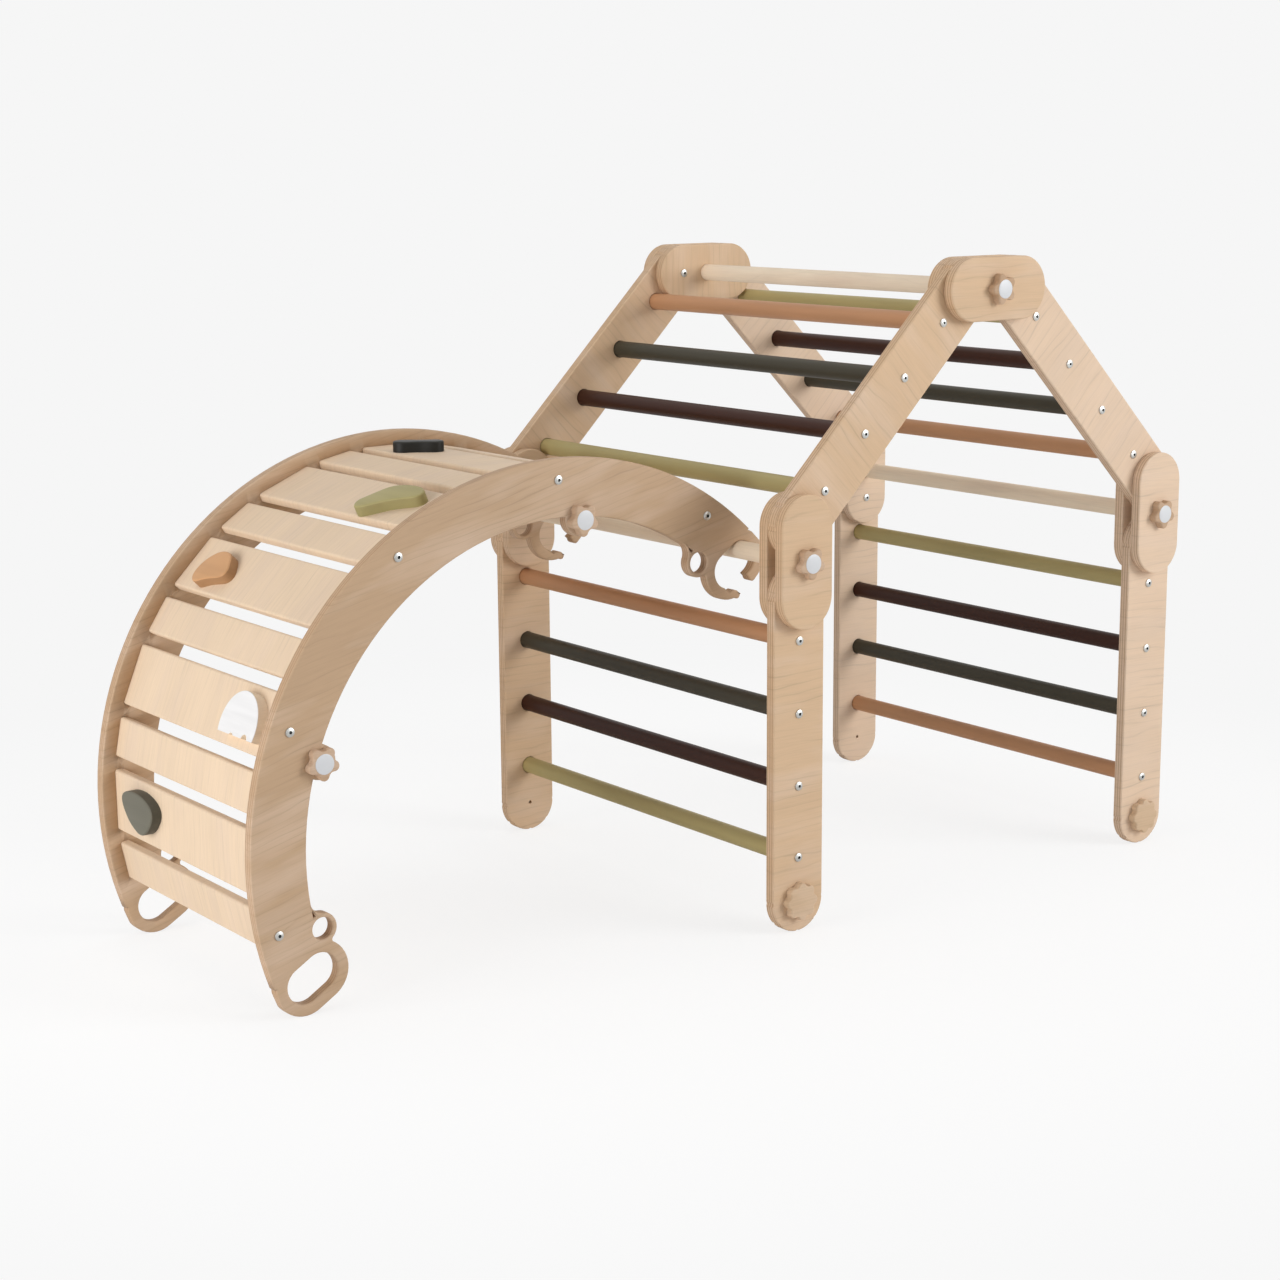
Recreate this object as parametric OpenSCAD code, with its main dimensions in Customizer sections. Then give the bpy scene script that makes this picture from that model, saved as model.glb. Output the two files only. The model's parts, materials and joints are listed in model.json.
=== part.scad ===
// Folding climbing frame with a hook-on arch.
// Four ladders are joined end to end by three pairs of slotted joint plates,
// and a slatted arch hangs by its hooks on the rung of the left shoulder joint.
// Origin: on the floor, under the middle of the whole set. X runs along the set,
// Y across it and Z up.

/* [Ladders] */
// Distance from one rung to the next
rung_pitch = 112; // [95:1:140]
// Diameter of a rung
rung_d = 28; // [24:1:34]
// Gap left between the first rung and the rim of the joint plate
rung_clear = 5; // [3:0.5:15]
// Width of a side rail, and diameter of its round ends
rail_w = 98; // [88:1:120]
// Width over the outer faces of the side rails
frame_w = 740; // [640:5:1000]
// Depth of the blind socket that holds the end of a rung
socket_depth = 9; // [5:0.5:11]
// Clearance around a rung in its socket
socket_gap = 1; // [0.3:0.1:1.5]
// Slope of the roof ladders
roof_slope = 45; // [40:1:50]

/* [Joint plates] */
// Thickness of the plywood rails, plates and arch panels
ply = 18; // [16:0.5:21]
// Gap between the rims of the two ladders in a joint
rim_gap = 7; // [6.8:0.1:12]
// Radius of the lock notches in the round rail ends
notch_r = 5.5; // [4.5:0.1:6]
// Diameter of the pivot and lock bolts
bolt_d = 6; // [5:0.5:6]
// Radial clearance of a bolt in the piece that turns on it
bolt_fit = 0.05; // [0.02:0.01:0.1]
// Clearance between faces that slide over each other
face_gap = 0.3; // [0.2:0.05:0.6]

/* [Screws and knobs] */
// Diameter of the domed screw heads
head_d = 13.6; // [11:0.1:16]
// Height of the domed screw heads
head_h = 3.2; // [2.4:0.1:4]
// Reach of a screw into the end grain of a rung or slat
screw_reach = 32; // [20:1:45]
// Diameter of a lock knob over its lobes
knob_d = 52; // [44:1:60]
// Thickness of a lock knob
knob_t = 18; // [14:0.5:24]
// Diameter of the cap in a lock knob
cap_d = 29; // [22:0.5:32]
// Height of the cap above the knob
cap_rise = 2.5; // [1:0.5:5]
// Diameter of a foot knob over its scallops
foot_knob_d = 59; // [50:1:66]
// Thickness of a foot knob
foot_knob_t = 15; // [12:0.5:18]

/* [Arch panels] */
// Outer radius of the arch
arch_r = 520; // [500:1:560]
// Width of the curved side panels
arch_band = 86; // [80:1:94]
// Width over the outer faces of the two panels
arch_w = 486; // [360:2:560]
// Distance of the middle of the arch from the middle of the frame
arch_y = 10; // [-60:1:60]
// Angle from the crown to each end of the arch
arch_half = 76; // [74:0.5:80]
// Radius of the hand loop at each end
loop_r = 27.5; // [24:0.5:29]
// Width of the wood around a loop
loop_wall = 17.5; // [15:0.5:20]
// Opening of the hook mouth
mouth_w = 29; // [29:0.5:32]
// Depth of the foot of a hand loop below the rim of the arch
loop_foot_in = 72; // [70:0.5:74]
// Depth of the head of a hand loop below the rim of the arch
loop_head_in = 44; // [43:0.5:46]
// Radius of the small ring hole beside a loop
ring_r = 16; // [12:0.5:18]
// Width of the wood around a ring hole
ring_wall = 6.5; // [5:0.5:9]
// Depth of a ring hole below the rim of the arch
ring_in = 98; // [96:0.5:100]

/* [Arch slats and grips] */
// Thickness of a slat
slat_t = 15; // [12:0.5:16]
// Width of a wide slat
slat_wide = 94; // [84:1:100]
// Width of a narrow slat
slat_narrow = 60; // [50:1:70]
// Depth of the upper edges of the slats below the rim of the arch
slat_inset = 21; // [14:1:26]
// Angle left free between the last slat and the end of the arch
slat_end = 8.8; // [8:0.1:10]
// Angle by which the whole row of slats is turned towards the foot of the arch
slat_turn = 0.6; // [0:0.1:1]
// Depth of the pockets that hold the ends of the slats
pocket_depth = 5; // [3:0.5:8]
// Thickness of a climbing grip
grip_t = 17; // [14:1:30]
// Diameter of the round grip
dome_d = 102; // [90:1:110]

/* [Hidden] */
$fn = 96;
eps = 0.01;

birch = "#dfc19c";
natural = "#e3ccab";
peach = "#c58f6b";
slate = "#4d5450";
brown = "#4a2c22";
olive = "#a8a477";
steel = "#e9e9e6";
star_wood = "#d3b08a";

// Ladders and joint plates
rung_count = 4;
rail_r = rail_w / 2;
edge_r = 2.5;                                 // eased edges of rails and plates
end_gap = rail_r + rung_d / 2 + rung_clear;   // pivot to the first rung
ladder_l = 2 * end_gap + (rung_count - 1) * rung_pitch;
plate_pitch = rail_w + rim_gap;               // between the two pivots of a plate
rail_y = frame_w / 2 - ply;                   // inner face of a side rail
outer_y = frame_w / 2 + face_gap;             // inner face of an outer plate
inner_y = rail_y - face_gap - ply;            // inner face of an inner plate
lock_socket = 6;                              // seat of a natural rung in an inner plate
rung_half = rail_y + socket_depth;            // middle of a rung to its end
lock_half = inner_y + lock_socket;
socket_fit = 0.3;                             // radial clearance of a plain rung or a screw
lock_reach = 30;                              // stud of a lock knob in the natural rung
pilot_r = bolt_d / 2;
bore_r = bolt_d / 2 + bolt_fit;

// The three joints, in the frame's own XZ plane
low_pivot_z = rail_r + ladder_l;
high_pivot_z = low_pivot_z + plate_pitch;
top_z = high_pivot_z + ladder_l * sin(roof_slope);
half_span = plate_pitch / 2 + ladder_l * cos(roof_slope);
shoulder_z = (low_pivot_z + high_pivot_z) / 2;

// Ends of the arch, drawn with s along the rim and n outwards from its centre
loop_low = [12.5, arch_r - loop_foot_in];
loop_high = [18, arch_r - loop_head_in];
ring_c = [-43.5, arch_r - ring_in];
fillet_r = 20;
valley_r = 5;
nip = 0.15;                                   // how far a blend bites into the rims it joins
ear_r = loop_r + loop_wall;
crossbar_a = 38;                              // crossbars, either side of the crown
crossbar_r = arch_r - arch_band - 4;
lug_r = 25;
inner_r = arch_r - arch_band;
panel_near = arch_y - arch_w / 2;             // outer face of the near panel
panel_far = arch_y + arch_w / 2;              // outer face of the far panel
slat_len = arch_w - 2 * ply + 2 * pocket_depth - 2 * face_gap;
slat_r = arch_r - slat_inset;                 // radius on which their upper edges lie
slat_count = 6;                               // slats on each side of the crown slat
slat_step = (arch_half - slat_end) / slat_count;  // angle from one slat to the next
slat_edge = 4;
grip_edge = 2.5;
screw_step = 3;                               // every third slat is screwed
wide_h = sqrt(pow(slat_r, 2) - pow(slat_wide / 2, 2));
narrow_h = sqrt(pow(slat_r, 2) - pow(slat_narrow / 2, 2));

// The arch leans between the shoulder rung, which its hook holds, and the floor
loop_polar = norm(loop_high);
loop_angle = arch_half + atan2(loop_high[0], loop_high[1]);
hook_drop = loop_r - rung_d / 2 - face_gap;
hook_z = shoulder_z - hook_drop;
arch_chord = 2 * loop_polar * sin(loop_angle);
arch_lean = asin((hook_z - ear_r) / arch_chord);
arch_cx = -half_span - loop_polar * sin(loop_angle - arch_lean);
arch_cz = hook_z - loop_polar * cos(loop_angle - arch_lean);

// Moves the middle of the whole set over the origin
shift_x = -(arch_cx - arch_r + half_span + rail_r) / 2;

// ---------------------------------------------------------------- helpers

// A point where two circles cross; side picks one of the two
function meet(c1, r1, c2, r2, side) =
    let (d = norm(c2 - c1), u = (c2 - c1) / d, x = (d * d + r1 * r1 - r2 * r2) / (2 * d))
    c1 + x * u + side * sqrt(r1 * r1 - x * x) * [-u[1], u[0]];

// An upright slab from an outline in XZ, starting at y and t thick towards +Y
module slab(y, t) {
    translate([0, y + t, 0]) rotate([90, 0, 0]) linear_extrude(t) children();
}

// A rod along Y from y1 to y2
module rod(y1, y2, r) {
    translate([0, y1, 0]) rotate([-90, 0, 0]) cylinder(h = y2 - y1, r = r);
}

module both_sides() {
    children();
    mirror([0, 1, 0]) children();
}

// side is 1 for the far side and -1 for the near side
module on_side(side) {
    if (side > 0) children();
    else mirror([0, 1, 0]) children();
}

// A stadium between two points; its flanks bite a little into its round ends
module stadium_2d(a, b, r) {
    d = b - a;
    w = r - nip / 3;
    for (p = [a, b]) translate(p) circle(r);
    translate(a) rotate(atan2(d[1], d[0])) translate([0, -w]) square([norm(d), 2 * w]);
}

// A rectangle with round corners, its middle at the origin
module round_rect_2d(w, h, r) {
    square([w - 2 * r, h], center = true);
    square([w, h - 2 * r], center = true);
    for (x = [-1, 1], y = [-1, 1])
        translate([x * (w / 2 - r), y * (h / 2 - r)]) circle(r, $fn = 24);
}

// A flat pebble with an eased top, wrapped around discs given as [x, y, radius]
module pebble(discs) {
    hull() for (d = discs) translate([d[0], d[1]]) {
        cylinder(h = grip_t - grip_edge, r = d[2], $fn = 32);
        cylinder(h = grip_t, r = d[2] - grip_edge, $fn = 32);
    }
}

// A plywood bar with round ends and eased edges. It stands on its lower centre
// at the origin, len high between centres, with its face at y and t thick.
module eased_bar(len, r, y, t) {
    translate([0, y + t / 2, 0]) {
        linear_extrude(len) round_rect_2d(2 * r, t, edge_r);
        for (z = [0, len])
            translate([0, 0, z]) rotate([90, 0, 0]) rotate_extrude()
                intersection() {
                    round_rect_2d(2 * r, t, edge_r);
                    translate([0, -t]) square([r + 1, 2 * t]);
                }
    }
}

// A domed screw, its head seated at the origin with the shank towards -Y
module screw(reach) {
    difference() {
        rotate([-90, 0, 0]) rotate_extrude() intersection() {
            translate([0, head_h - head_d * 0.9]) circle(head_d * 0.9);
            square([head_d / 2, head_h]);
        }
        translate([0, head_h - 2, 0]) rotate([-90, 0, 0]) cylinder(h = 3, d = 4.6, $fn = 6);
    }
    rod(-reach, eps, pilot_r);
}

// A star knob with round lobes, its seat at the origin and its axis along +Y
module star(d, t, lobes, lobe_r) {
    lobe_c = d / 2 - lobe_r;
    valley_c = d / 2 + 1.5;
    half = 180 / lobes;
    valley = [valley_c * cos(half), valley_c * sin(half)];
    reach = norm(valley - [lobe_c, 0]);
    touch = [lobe_c, 0] + lobe_r / reach * (valley - [lobe_c, 0]);
    rotate([-90, 0, 0]) linear_extrude(t) {
        difference() {
            circle(norm(touch) + nip);
            for (i = [0 : lobes - 1])
                rotate(half + i * 2 * half) translate([valley_c, 0]) circle(reach - lobe_r - nip);
        }
        for (i = [0 : lobes - 1]) rotate(i * 2 * half) translate([lobe_c, 0]) circle(lobe_r);
    }
}

// ---------------------------------------------------------------- placing

// A ladder's own frame: lower pivot at the origin, the ladder up along Z
module at_left_upright() {
    translate([shift_x - half_span, 0, rail_r]) children();
}

module at_left_roof() {
    translate([shift_x - half_span, 0, high_pivot_z]) rotate([0, 90 - roof_slope, 0]) children();
}

module at_right_roof() {
    translate([shift_x + half_span, 0, high_pivot_z]) rotate([0, roof_slope - 90, 0]) children();
}

module at_right_upright() {
    translate([shift_x + half_span, 0, rail_r]) children();
}

// A joint's own frame: middle of the plate at the origin, its pivots above and below
module at_left_shoulder() {
    translate([shift_x - half_span, 0, shoulder_z]) children();
}

module at_top() {
    translate([shift_x, 0, top_z]) rotate([0, 90, 0]) children();
}

module at_right_shoulder() {
    translate([shift_x + half_span, 0, shoulder_z]) children();
}

// The arch's own frame: centre of its circle at the origin, its crown up along Z
module at_arch() {
    translate([shift_x + arch_cx, 0, arch_cz]) rotate([0, -arch_lean, 0]) children();
}

// ---------------------------------------------------------------- ladders

// One side rail with its rung sockets, pivot holes and lock notches
module rail() {
    difference() {
        eased_bar(ladder_l, rail_r, rail_y, ply);
        for (z = [0, ladder_l])
            translate([0, 0, z]) {
                rod(rail_y - 1, rail_y + ply + 1, bore_r);
                for (a = [-90 : 45 : 90])
                    rotate([0, a + (z > 0 ? 0 : 180), 0]) translate([0, 0, plate_pitch / 2])
                        rod(rail_y - 1, rail_y + ply + 1, notch_r);
            }
        for (i = [0 : rung_count - 1])
            translate([0, 0, end_gap + i * rung_pitch]) {
                rod(rail_y - 1, rail_y + socket_depth, rung_d / 2 + socket_gap);
                rod(rail_y, rail_y + ply + 1, pilot_r + socket_fit);
            }
    }
}

module rails() {
    color(birch) both_sides() rail();
}

// A painted rung, drilled at both ends for its screws
module rung(half_l, reach, hole_r) {
    difference() {
        rod(-half_l, half_l, rung_d / 2);
        both_sides() rod(half_l - reach, half_l + 1, hole_r);
    }
}

module ladder_rung(i, paint) {
    color(paint) translate([0, 0, end_gap + (i - 1) * rung_pitch])
        rung(rung_half, screw_reach, pilot_r);
}

// The screws that hold the rungs of one ladder
module ladder_bolts() {
    color(steel) for (i = [0 : rung_count - 1])
        translate([0, 0, end_gap + i * rung_pitch])
            both_sides() translate([0, frame_w / 2, 0])
                screw(screw_reach + ply - socket_depth - 1);
}

module left_upright_rails() { at_left_upright() rails(); }
module left_upright_bolts() { at_left_upright() ladder_bolts(); }
module left_upright_rung(i) { at_left_upright() ladder_rung(i, [olive, brown, slate, peach][i - 1]); }
module left_roof_rails() { at_left_roof() rails(); }
module left_roof_bolts() { at_left_roof() ladder_bolts(); }
module left_roof_rung(i) { at_left_roof() ladder_rung(i, [olive, brown, slate, peach][i - 1]); }
module right_roof_rails() { at_right_roof() rails(); }
module right_roof_bolts() { at_right_roof() ladder_bolts(); }
module right_roof_rung(i) { at_right_roof() ladder_rung(i, [peach, slate, brown, olive][i - 1]); }
module right_upright_rails() { at_right_upright() rails(); }
module right_upright_bolts() { at_right_upright() ladder_bolts(); }
module right_upright_rung(i) { at_right_upright() ladder_rung(i, [peach, slate, brown, olive][i - 1]); }

// ---------------------------------------------------------------- joints

// The inner and outer plate on each side, with the blind holes for the pivot bolts
module plates() {
    color(birch) both_sides() {
        difference() {
            translate([0, 0, -plate_pitch / 2]) eased_bar(plate_pitch, rail_r, outer_y, ply);
            rod(outer_y - 1, outer_y + ply + 1, bore_r);
            for (z = [-1, 1])
                translate([0, 0, z * plate_pitch / 2]) rod(outer_y - 1, outer_y + ply * 0.7, pilot_r);
        }
        difference() {
            translate([0, 0, -plate_pitch / 2]) eased_bar(plate_pitch, rail_r, inner_y, ply);
            rod(inner_y - 1, inner_y + ply + 1, bore_r);
            rod(inner_y - 1, inner_y + lock_socket, rung_d / 2 + socket_fit);
            for (z = [-1, 1])
                translate([0, 0, z * plate_pitch / 2]) rod(inner_y - 1, inner_y + ply + 1, pilot_r);
        }
    }
}

// The bolts on which the ladders turn, their heads on the inner plates
module pivots() {
    reach = outer_y + ply * 0.6 - inner_y;
    color(steel) both_sides() for (z = [-1, 1])
        translate([0, inner_y, z * plate_pitch / 2]) mirror([0, 1, 0]) screw(reach);
}

// The plain rung between the inner plates, drilled for the studs of the lock knobs
module lock_rung() {
    color(natural) rung(lock_half, lock_reach + 8, bore_r);
}

// A lock knob: star, cap and the stud that reaches into the plain rung
module lock_knob(side) {
    on_side(side) translate([0, outer_y + ply, 0]) capped_knob(outer_y + ply - lock_half + lock_reach);
}

module capped_knob(stud) {
    color(star_wood) translate([0, face_gap, 0]) rotate([0, 18, 0]) star(knob_d, knob_t, 5, 8.2);
    color("white") translate([0, face_gap + knob_t, 0]) rotate([-90, 0, 0]) rotate_extrude()
        intersection() {
            translate([0, -eps]) square([cap_d / 2, cap_rise + eps]);
            translate([0, cap_rise - cap_d]) circle(cap_d);
        }
    color(steel) rod(-stud, face_gap + 1, pilot_r);
}

// A scalloped knob in the lower pivot hole of an upright
module foot_knob(side) {
    on_side(side) translate([0, frame_w / 2, 0]) {
        color(star_wood) translate([0, face_gap, 0]) star(foot_knob_d, foot_knob_t, 8, 7.5);
        color(steel) rod(-ply * 0.75, face_gap + 1, pilot_r);
    }
}

module left_shoulder_plates() { at_left_shoulder() plates(); }
module left_shoulder_pivots() { at_left_shoulder() pivots(); }
module left_shoulder_rung() { at_left_shoulder() lock_rung(); }
module left_shoulder_knob(side) { at_left_shoulder() lock_knob(side); }
module top_plates() { at_top() plates(); }
module top_pivots() { at_top() pivots(); }
module top_rung() { at_top() lock_rung(); }
module top_knob(side) { at_top() lock_knob(side); }
module right_shoulder_plates() { at_right_shoulder() plates(); }
module right_shoulder_pivots() { at_right_shoulder() pivots(); }
module right_shoulder_rung() { at_right_shoulder() lock_rung(); }
module right_shoulder_knob(side) { at_right_shoulder() lock_knob(side); }
module left_foot_knob(side) { at_left_upright() foot_knob(side); }
module right_foot_knob(side) { at_right_upright() foot_knob(side); }

// ---------------------------------------------------------------- arch

// Wood added at one end of a panel: ring, loop and the fillets beside them
module ear_2d() {
    ring_o = ring_r + ring_wall;
    rim_c = meet([0, 0], inner_r - fillet_r + nip, ring_c, ring_o + fillet_r - nip, 1);
    valley_c = meet(ring_c, ring_o + valley_r - nip, loop_low, ear_r + valley_r - nip, -1);
    translate(ring_c) circle(ring_o);
    stadium_2d(loop_low, loop_high, ear_r);
    difference() {
        polygon([rim_c * (inner_r + 4) / norm(rim_c), rim_c, ring_c]);
        translate(rim_c) circle(fillet_r);
    }
    difference() {
        polygon([ring_c, valley_c, loop_low]);
        translate(valley_c) circle(valley_r);
    }
}

module ear_holes_2d() {
    translate(ring_c) circle(ring_r);
    stadium_2d(loop_low, loop_high, loop_r);
}

// The mouth of the hook, cut through the outer side of the loop
module mouth_2d() {
    low = loop_high[1] - 41;
    polygon([
        [loop_low[0] + 8, low], [loop_low[0] + 12, low - 12], [loop_low[0] + 23.5, low - 12],
        [loop_low[0] + 27.5, low - 3], [loop_low[0] + 34, low], [ear_r + 30, low],
        [ear_r + 30, low + mouth_w], [loop_high[0] + 10, low + mouth_w]
    ]);
}

module tips_2d() {
    low = loop_high[1] - 41;
    translate([loop_low[0] + 38.6, low - 5.5]) circle(5.4);
    translate([loop_high[0] + 37.6, low + mouth_w + 5.2]) circle(7.2);
}

// The ends are mirror images; s runs away from the crown on both
module at_end(side) {
    rotate(side * arch_half) mirror([side > 0 ? 1 : 0, 0]) children();
}

// A wedge from the arch's centre that holds all of its rim
module wedge_2d() {
    edge = 2 * arch_r * [sin(arch_half), cos(arch_half)];
    polygon([[0, 0], edge, 2 * arch_r * [1, 1], 2 * arch_r * [-1, 1], [-edge[0], edge[1]]]);
}

// Outline of a panel, drawn with the crown up
module panel_2d() {
    difference() {
        intersection() {
            circle(arch_r, $fn = 360);
            union() {
                difference() {
                    wedge_2d();
                    circle(inner_r, $fn = 360);
                }
                for (side = [-1, 1]) {
                    at_end(side) ear_2d();
                    rotate(side * crossbar_a) translate([0, crossbar_r]) circle(lug_r);
                }
            }
        }
        for (side = [-1, 1]) at_end(side) ear_holes_2d();
        at_end(-1) mouth_2d();
    }
    at_end(-1) tips_2d();
}

// Places children on slat k, with the top face of the slat at z = 0
module at_slat(k) {
    rotate([0, -k * slat_step - slat_turn, 0])
        translate([0, 0, k % 2 == 0 ? narrow_h : wide_h]) children();
}

// A slat, or the pocket for one when it is grown
module slat(k, y, len, grow) {
    w = k % 2 == 0 ? slat_narrow : slat_wide;
    at_slat(k) translate([0, y + len, -slat_t / 2]) rotate([90, 0, 0]) linear_extrude(len)
        round_rect_2d(w + 2 * grow, slat_t + 2 * grow, slat_edge + grow);
}

// A side panel with pockets for the slats and holes for screws and studs.
// y is its lower face in Y, inward is 1 if the slats are on its +Y side.
module panel(y, inward) {
    pocket_y = inward > 0 ? y + ply - pocket_depth : y - 1;
    color(birch) at_arch() difference() {
        slab(y, ply) panel_2d();
        for (k = [-slat_count : slat_count]) slat(k, pocket_y, pocket_depth + 1, face_gap);
        for (k = [-slat_count : screw_step : slat_count])
            at_slat(k) translate([0, 0, -slat_t / 2]) rod(y - 1, y + ply + 1, pilot_r + face_gap);
        for (side = [-1, 1])
            rotate([0, side * crossbar_a, 0]) translate([0, 0, crossbar_r])
                rod(y - 1, y + ply + 1, bore_r);
    }
}

module arch_panel_near() { panel(panel_near, 1); }
module arch_panel_far() { panel(panel_far - ply, -1); }

// Slats of one kind; their ends are drilled where screws hold them
module slats(first) {
    color(natural) at_arch() difference() {
        for (k = [first : 2 : slat_count])
            slat(k, panel_near + ply - pocket_depth + face_gap, slat_len, 0);
        for (k = [-slat_count : screw_step : slat_count]) if ((k - first) % 2 == 0)
            at_slat(k) translate([0, 0, -slat_t / 2]) {
                rod(panel_near, panel_near + ply + screw_reach, pilot_r);
                rod(panel_far - ply - screw_reach, panel_far, pilot_r);
            }
    }
}

module arch_slats_narrow() { slats(-slat_count); }
module arch_slats_wide() { slats(1 - slat_count); }

module arch_screws() {
    color(steel) at_arch() for (k = [-slat_count : screw_step : slat_count])
        at_slat(k) translate([0, 0, -slat_t / 2]) {
            translate([0, panel_far, 0]) screw(ply + screw_reach - 4);
            translate([0, panel_near, 0]) mirror([0, 1, 0]) screw(ply + screw_reach - 4);
        }
}

// side is 1 for the hook end and -1 for the foot end
module at_crossbar(side) {
    at_arch() rotate([0, side * crossbar_a, 0]) translate([0, arch_y, crossbar_r]) children();
}

module crossbar(side) {
    color(natural) at_crossbar(side) rung(arch_w / 2 - ply, lock_reach + 8, bore_r);
}

module arch_crossbar_upper() { crossbar(1); }
module arch_crossbar_lower() { crossbar(-1); }

module arch_knob(end, side) {
    at_crossbar(end) on_side(side) translate([0, arch_w / 2, 0]) capped_knob(ply + lock_reach);
}

module arch_knob_upper(side) { arch_knob(1, side); }
module arch_knob_lower(side) { arch_knob(-1, side); }

// ---------------------------------------------------------------- grips

// A grip stands on slat k, at a share of the way from the middle to the far panel.
// It is drawn looking down on it, with x towards the hooks and y towards the far panel.
module on_slat(k, share) {
    at_arch() at_slat(k) translate([0, arch_y + share * arch_w / 2, 0]) children();
}

module grip_grey_drop() {
    color(slate) on_slat(5, 0.5) pebble([[7, -23, 25], [-8, 0, 20], [15, 30, 19]]);
}

// A disc cut flat on one side, with two scallops in the flat
module grip_white_dome() {
    color("white") on_slat(3, -0.6) linear_extrude(grip_t) difference() {
        translate([-16, 0]) circle(dome_d / 2);
        translate([-30 - dome_d, -dome_d]) square([dome_d, 2 * dome_d]);
        translate([-31, -26]) circle(8);
        translate([-34, 11]) circle(7);
    }
}

module grip_peach_drop() {
    color(peach) on_slat(1, 0.5) pebble([[-18, 21, 22], [-2, 5, 24], [-6, -21, 20]]);
}

module grip_olive_drop() {
    color(olive) on_slat(-1, -0.42) pebble([[-29, 28, 16], [0, 2, 26], [14, -51, 14]]);
}

module grip_black_bar() {
    color("#2b2c29") on_slat(-3, 0.5) pebble([[-26, 15, 16], [12, -14, 15]]);
}

left_upright_rails();
left_upright_bolts();
left_upright_rung(1);  // left_upright_rung_1
left_upright_rung(2);  // left_upright_rung_2
left_upright_rung(3);  // left_upright_rung_3
left_upright_rung(4);  // left_upright_rung_4
left_roof_rails();
left_roof_bolts();
left_roof_rung(1);  // left_roof_rung_1
left_roof_rung(2);  // left_roof_rung_2
left_roof_rung(3);  // left_roof_rung_3
left_roof_rung(4);  // left_roof_rung_4
right_roof_rails();
right_roof_bolts();
right_roof_rung(1);  // right_roof_rung_1
right_roof_rung(2);  // right_roof_rung_2
right_roof_rung(3);  // right_roof_rung_3
right_roof_rung(4);  // right_roof_rung_4
right_upright_rails();
right_upright_bolts();
right_upright_rung(1);  // right_upright_rung_1
right_upright_rung(2);  // right_upright_rung_2
right_upright_rung(3);  // right_upright_rung_3
right_upright_rung(4);  // right_upright_rung_4
left_shoulder_plates();
left_shoulder_pivots();
left_shoulder_rung();
top_plates();
top_pivots();
top_rung();
right_shoulder_plates();
right_shoulder_pivots();
right_shoulder_rung();
left_shoulder_knob(-1);  // left_shoulder_knob_near
left_shoulder_knob(1);  // left_shoulder_knob_far
top_knob(-1);  // top_knob_near
top_knob(1);  // top_knob_far
right_shoulder_knob(-1);  // right_shoulder_knob_near
right_shoulder_knob(1);  // right_shoulder_knob_far
left_foot_knob(-1);  // left_foot_knob_near
left_foot_knob(1);  // left_foot_knob_far
right_foot_knob(-1);  // right_foot_knob_near
right_foot_knob(1);  // right_foot_knob_far
arch_panel_near();
arch_panel_far();
arch_slats_wide();
arch_slats_narrow();
arch_screws();
arch_crossbar_upper();
arch_crossbar_lower();
arch_knob_upper(-1);  // arch_knob_upper_near
arch_knob_upper(1);  // arch_knob_upper_far
arch_knob_lower(-1);  // arch_knob_lower_near
arch_knob_lower(1);  // arch_knob_lower_far
grip_grey_drop();
grip_white_dome();
grip_peach_drop();
grip_olive_drop();
grip_black_bar();
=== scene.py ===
"""Looks of the folding climbing frame with a hook-on arch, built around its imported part."""
import json
import math

import bmesh
import bpy
from bpy.props import FloatProperty, FloatVectorProperty, IntProperty, PointerProperty
from mathutils import Matrix, Vector


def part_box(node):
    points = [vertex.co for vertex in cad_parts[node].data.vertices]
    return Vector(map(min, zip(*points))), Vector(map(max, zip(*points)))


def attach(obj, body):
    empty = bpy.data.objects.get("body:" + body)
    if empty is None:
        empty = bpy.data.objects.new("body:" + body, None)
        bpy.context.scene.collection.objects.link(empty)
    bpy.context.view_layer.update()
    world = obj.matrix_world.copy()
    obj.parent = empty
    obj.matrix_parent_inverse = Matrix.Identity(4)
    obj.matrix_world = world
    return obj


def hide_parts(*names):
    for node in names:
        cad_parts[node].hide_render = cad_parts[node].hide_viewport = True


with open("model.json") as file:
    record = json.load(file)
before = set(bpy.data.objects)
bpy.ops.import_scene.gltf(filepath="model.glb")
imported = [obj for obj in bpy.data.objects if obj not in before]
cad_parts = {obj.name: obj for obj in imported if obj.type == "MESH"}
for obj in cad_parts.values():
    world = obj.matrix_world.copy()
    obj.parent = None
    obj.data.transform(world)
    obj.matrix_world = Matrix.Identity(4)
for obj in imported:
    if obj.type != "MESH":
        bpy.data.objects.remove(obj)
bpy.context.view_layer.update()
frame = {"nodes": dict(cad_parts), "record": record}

bl_info = {
    "name": "Climbing Frame With Arch",
    "version": (1, 0, 0),
    "blender": (4, 5, 0),
    "location": "View3D > Sidebar > Climbing Frame",
    "description": "Dresses a folding plywood climbing frame and its slatted arch",
    "category": "Object",
}

MM = 0.001


def linear(hex_colour):
    """An sRGB hex colour as linear red, green and blue."""
    parts = (int(hex_colour[i:i + 2], 16) / 255 for i in (1, 3, 5))
    return tuple(p / 12.92 if p <= 0.04045 else ((p + 0.055) / 1.055) ** 2.4 for p in parts)


def colour(name, description, hex_colour):
    return FloatVectorProperty(name=name, description=description, subtype="COLOR",
                               size=3, min=0, max=1, default=linear(hex_colour))


def length(name, description, millimetres):
    return FloatProperty(name=name, description=description, unit="LENGTH",
                         subtype="DISTANCE", default=millimetres * MM, min=0)


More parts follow.
